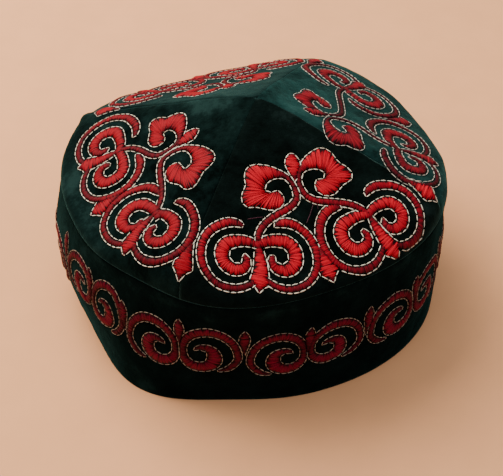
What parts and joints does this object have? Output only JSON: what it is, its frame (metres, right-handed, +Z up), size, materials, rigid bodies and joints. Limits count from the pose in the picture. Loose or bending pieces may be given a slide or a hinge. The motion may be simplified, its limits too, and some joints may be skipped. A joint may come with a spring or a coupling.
{
  "type": "embroidered four-cornered skullcap",
  "caption": "Stiff velvet skullcap with four crown gores rising to a low peak over an upright side band, open below.",
  "frame": {"origin": "middle of the cap's box, on the surface that the rim of its band stands on", "axes": "+Z up through the crown, -Y towards the front gore, +X towards the right gore"},
  "size_m": [0.1874, 0.17, 0.1089],
  "materials": {
    "crown_velvet": "dark bottle-green cotton velvet with a teal sheen where the pile is seen side on",
    "band_velvet": "the same dark green velvet on a stiffened band",
    "thread_red": "scarlet to crimson satin stitch in glossy rayon thread",
    "thread_cream": "cream outline stitch in thicker cotton thread"
  },
  "bodies": {
    "root": {"crown_gore_front": "crown_velvet", "crown_gore_right": "crown_velvet", "crown_gore_back": "crown_velvet", "crown_gore_left": "crown_velvet", "side_band": "band_velvet"}
  },
  "joints": []
}
